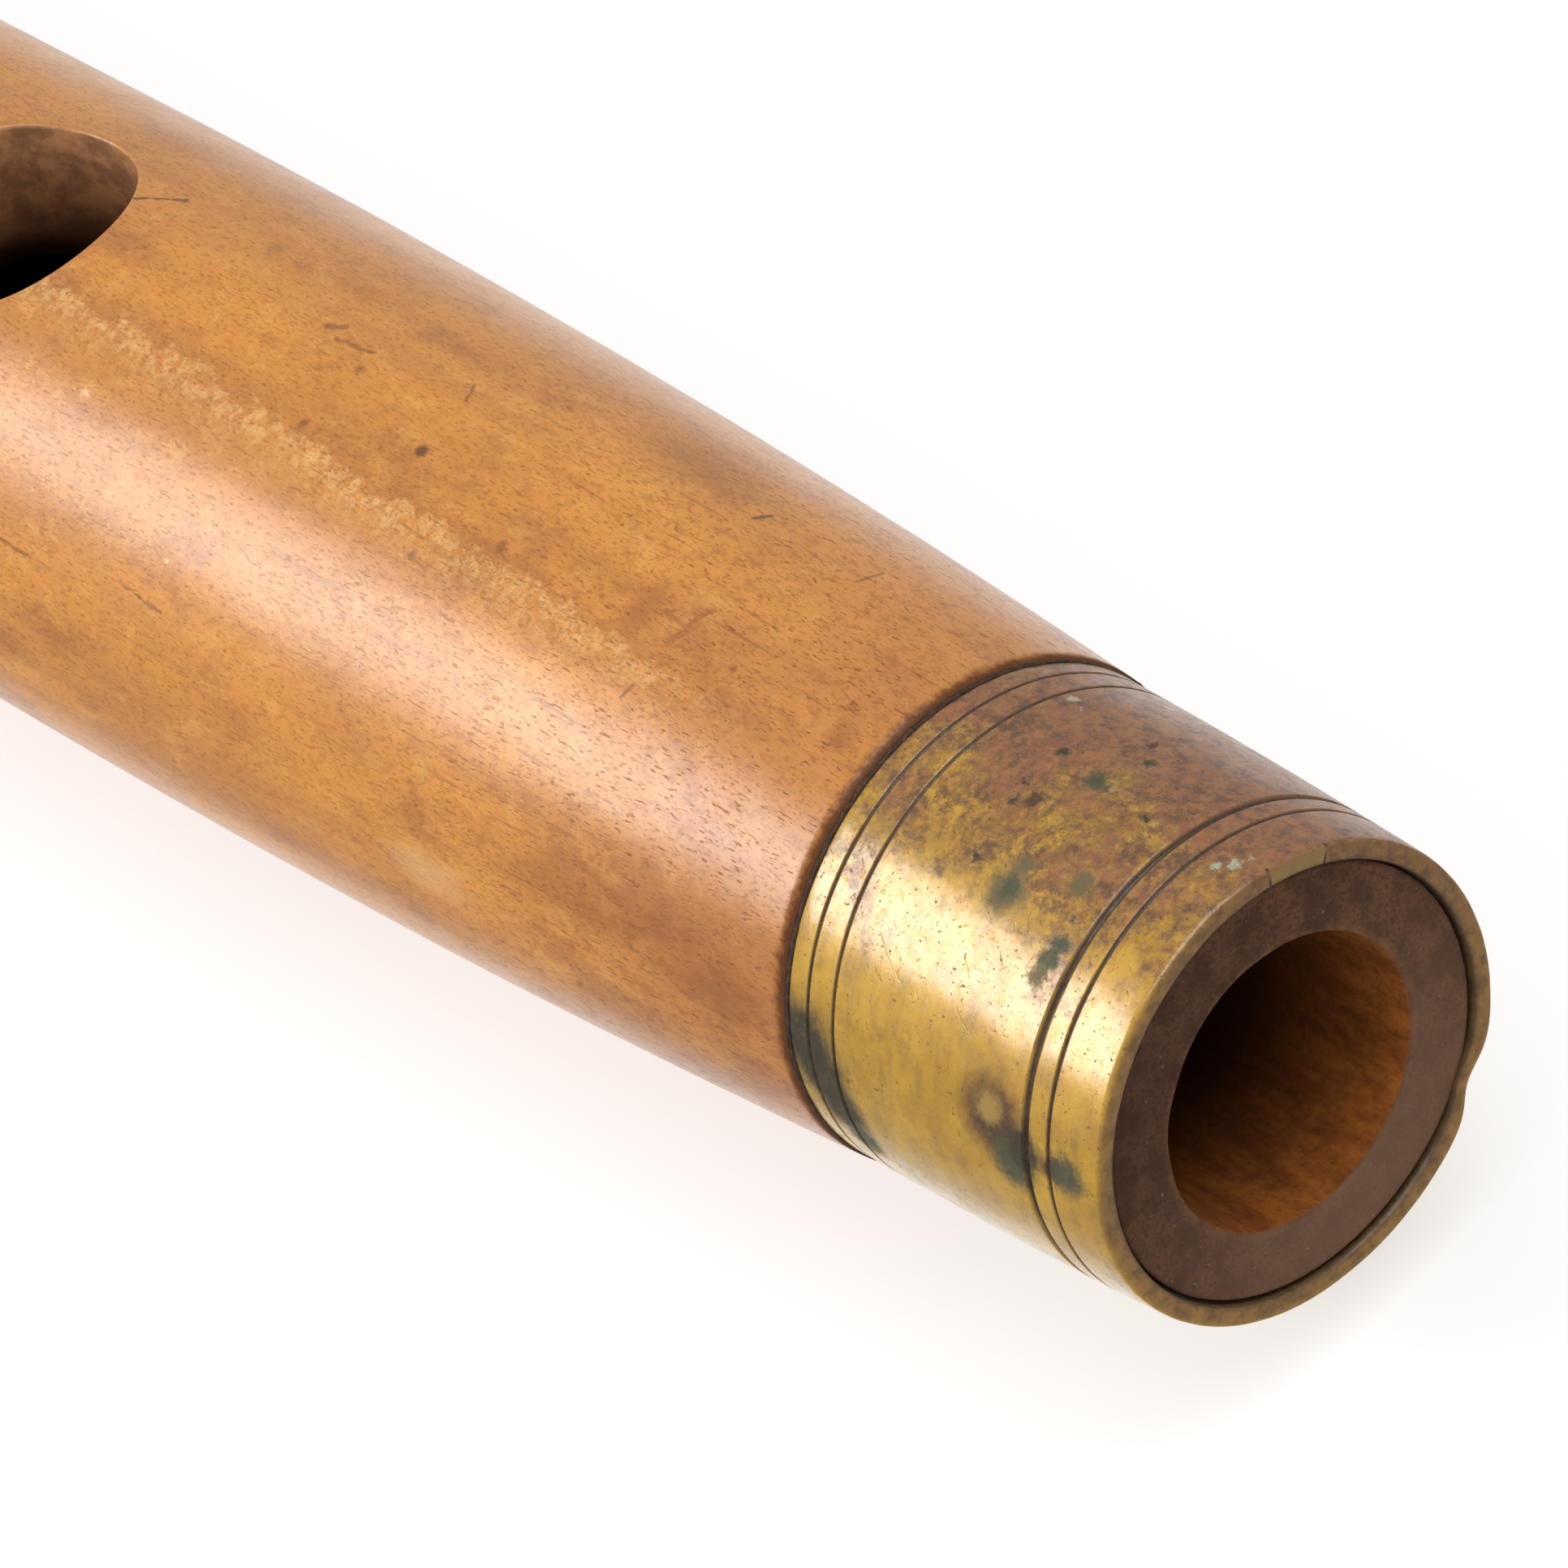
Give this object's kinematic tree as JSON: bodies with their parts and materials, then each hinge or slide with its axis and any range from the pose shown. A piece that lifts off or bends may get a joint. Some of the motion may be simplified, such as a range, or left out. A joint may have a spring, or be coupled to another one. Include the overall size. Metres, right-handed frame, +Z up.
{
  "type": "fife",
  "caption": "One-piece wooden fife with a barrel swell at the embouchure, finger holes in line, grooved brass end ferrules and a sliding cork stopper.",
  "frame": {"origin": "under the middle of the tube's length, level with the bottom of the barrel swell", "axes": "+X along the bore from the foot to the head, +Z up, the way the holes face"},
  "size_m": [0.375, 0.0232, 0.0233],
  "materials": {
    "boxwood": "aged satin varnish, honey brown and mottled",
    "aged_brass": "worn and tarnished, with dark spots",
    "dark_cement": "dull dark resin",
    "cork": "natural cork, matt"
  },
  "bodies": {
    "fife": {"body": "boxwood", "head_ferrule": "aged_brass", "foot_ferrule": "aged_brass", "head_cement": "dark_cement", "foot_cement": "dark_cement"},
    "stopper": {"stopper_cork": "cork"}
  },
  "joints": [
    {"name": "stopper_slide", "type": "slide", "parent": "fife", "child": "stopper", "axis": [1, 0, 0], "range_m": [-0.004, 0.058]}
  ]
}
